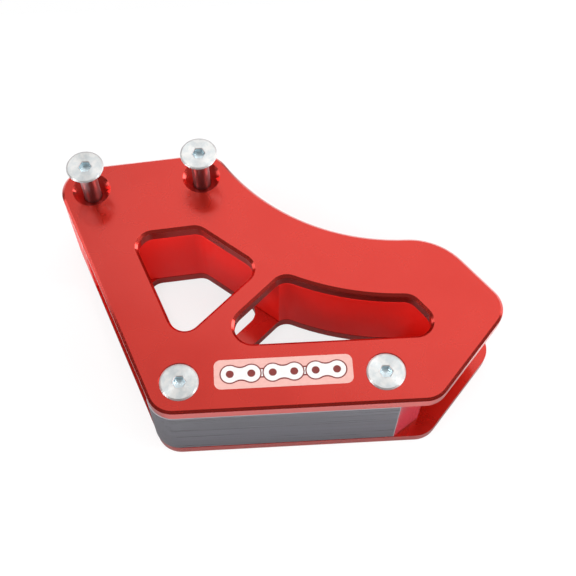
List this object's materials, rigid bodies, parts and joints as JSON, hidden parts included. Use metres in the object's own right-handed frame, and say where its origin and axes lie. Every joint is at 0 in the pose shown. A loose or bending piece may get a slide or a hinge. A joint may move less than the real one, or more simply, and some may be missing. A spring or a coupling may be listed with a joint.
{
  "type": "motorcycle chain guide",
  "caption": "Billet chain guide: red side plates with windows, held apart by a spacer and a bevelled wear block, with flush clamp screws and loose mounting bolts.",
  "frame": {"origin": "on the inner plate's outer face, halfway between the axes of the two mounting holes", "axes": "+X along the chain edge towards the nose, +Y from the chain edge towards the mounting holes, +Z from the inner plate to the outer plate"},
  "size_m": [0.1949, 0.1292, 0.07],
  "materials": {
    "anodised_red": "bead-blasted aluminium, bright red anodised, satin on the outer faces and glossier on cut walls",
    "wear_polymer": "extruded dark grey wear polymer with faint lengthwise streaks, bevel lit red by the plates",
    "zinc_steel": "bright zinc plated steel, satin heads and smooth shanks"
  },
  "bodies": {
    "root": {"outer_plate": "anodised_red", "inner_plate": "anodised_red", "spacer_block": "anodised_red", "wear_block": "wear_polymer", "clamp_screw_left": "zinc_steel", "clamp_screw_right": "zinc_steel", "mounting_bolt_left": "zinc_steel", "mounting_bolt_right": "zinc_steel"}
  },
  "joints": []
}
